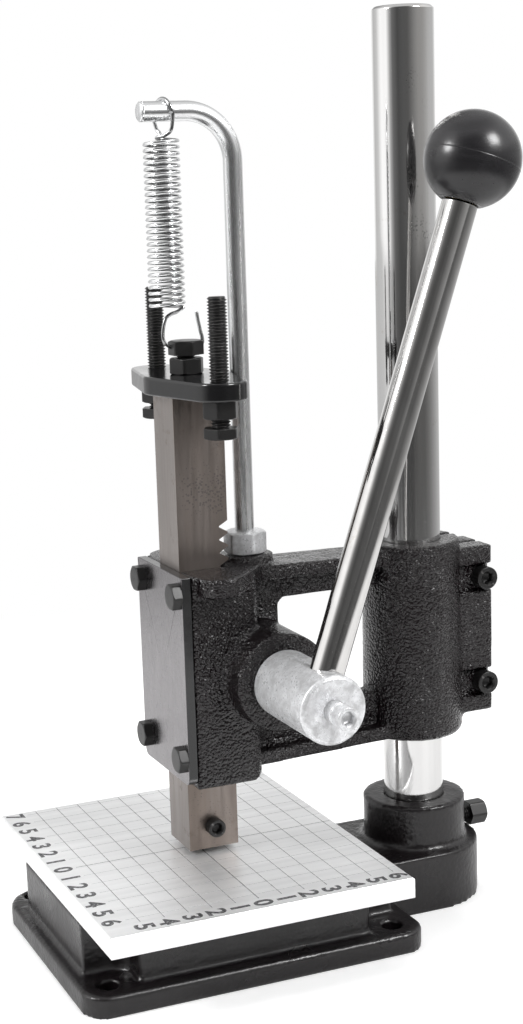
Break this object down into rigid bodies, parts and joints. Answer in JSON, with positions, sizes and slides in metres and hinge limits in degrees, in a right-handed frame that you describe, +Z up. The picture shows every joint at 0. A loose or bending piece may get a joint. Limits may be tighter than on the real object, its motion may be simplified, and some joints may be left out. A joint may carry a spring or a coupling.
{
  "type": "leather punch press",
  "caption": "Lever hand press: a rack-driven square ram in a black cast head that rides on a round column, over a ruled work plate on a bolted base, with a return spring and stop bolts",
  "frame": {"origin": "On the table plane, midway between the four bench bolt holes. The ram's axis stands on it.", "axes": "+Z is up. -Y is the front, where the face plate is. The column stands at +Y. +X is the lever's side."},
  "size_m": [0.1691, 0.2125, 0.386],
  "materials": {
    "casting_paint": "glossy black hammered enamel",
    "stop_paint": "smooth glossy black enamel",
    "plate_metal": "fine brushed, printed with a thin black scale",
    "column_chrome": "hard chrome, lightly streaked along its length",
    "lever_chrome": "polished chrome",
    "post_zinc": "bright zinc plate",
    "hub_zinc": "turned, pale zinc plate",
    "face_steel": "ground flat, satin",
    "ram_steel": "dull ground bar with scuffs and brown oil stain",
    "gear_steel": "milled, oiled",
    "bolt_black": "black oxide",
    "spring_wire": "bright zinc plated wire",
    "bush_bronze": "oiled bronze",
    "insert_brass": "turned",
    "knob_plastic": "glossy black, moulding seam round the middle"
  },
  "bodies": {
    "base": {"base_casting": "casting_paint", "work_plate": "plate_metal", "work_plate_screws": "bolt_black", "column_lock_bolt": "bolt_black"},
    "column": {"column": "column_chrome"},
    "head": {"head_casting": "casting_paint", "head_clamp_screws": "bolt_black", "face_plate": "face_steel", "face_plate_bolts": "bolt_black", "bush_near": "bush_bronze", "bush_far": "bush_bronze", "spring_post": "post_zinc", "post_nut": "hub_zinc", "return_spring": "spring_wire"},
    "lever": {"pinion": "gear_steel", "pinion_key": "gear_steel", "pinion_shaft": "lever_chrome", "shaft_end_washer": "hub_zinc", "shaft_end_screw": "bolt_black", "lever_hub": "hub_zinc", "hub_grub_screw": "bolt_black", "lever_clamp_screw": "hub_zinc", "lever_rod": "lever_chrome", "ball_knob": "knob_plastic", "knob_insert": "insert_brass"},
    "ram": {"ram": "ram_steel", "tool_screw": "bolt_black", "stop_plate": "stop_paint", "stop_lock_nuts": "bolt_black", "ram_top_bolt": "bolt_black", "ram_top_nut": "bolt_black"},
    "stop_bolt_right": {"stop_bolt_right": "bolt_black"},
    "stop_bolt_left": {"stop_bolt_left": "bolt_black"}
  },
  "joints": [
    {"name": "column_swivel", "type": "hinge", "parent": "base", "child": "column", "pos_m": [0, 0.102, 0], "axis": [0, 0, 1], "continuous": true},
    {"name": "head_height", "type": "slide", "parent": "column", "child": "head", "axis": [0, 0, 1], "range_m": [0, 0.22]},
    {"name": "lever_turn", "type": "hinge", "parent": "head", "child": "lever", "pos_m": [0, 0.02325, 0.1164], "axis": [1, 0, 0], "range_deg": [-69.5, 8]},
    {"name": "ram_slide", "type": "slide", "parent": "head", "child": "ram", "axis": [0, 0, -1], "range_m": [-0.017, 0.002], "stiffness_N_per_m": 760, "deforming": ["return_spring"]},
    {"name": "stop_right_height", "type": "slide", "parent": "ram", "child": "stop_bolt_right", "axis": [0, 0, 1], "range_m": [-0.032, 0.003]},
    {"name": "stop_left_height", "type": "slide", "parent": "ram", "child": "stop_bolt_left", "axis": [0, 0, 1], "range_m": [-0.032, 0.002]}
  ],
  "couplings": [
    {"joint": "ram_slide", "follows": "lever_turn", "m_per_rad": 0.014}
  ]
}
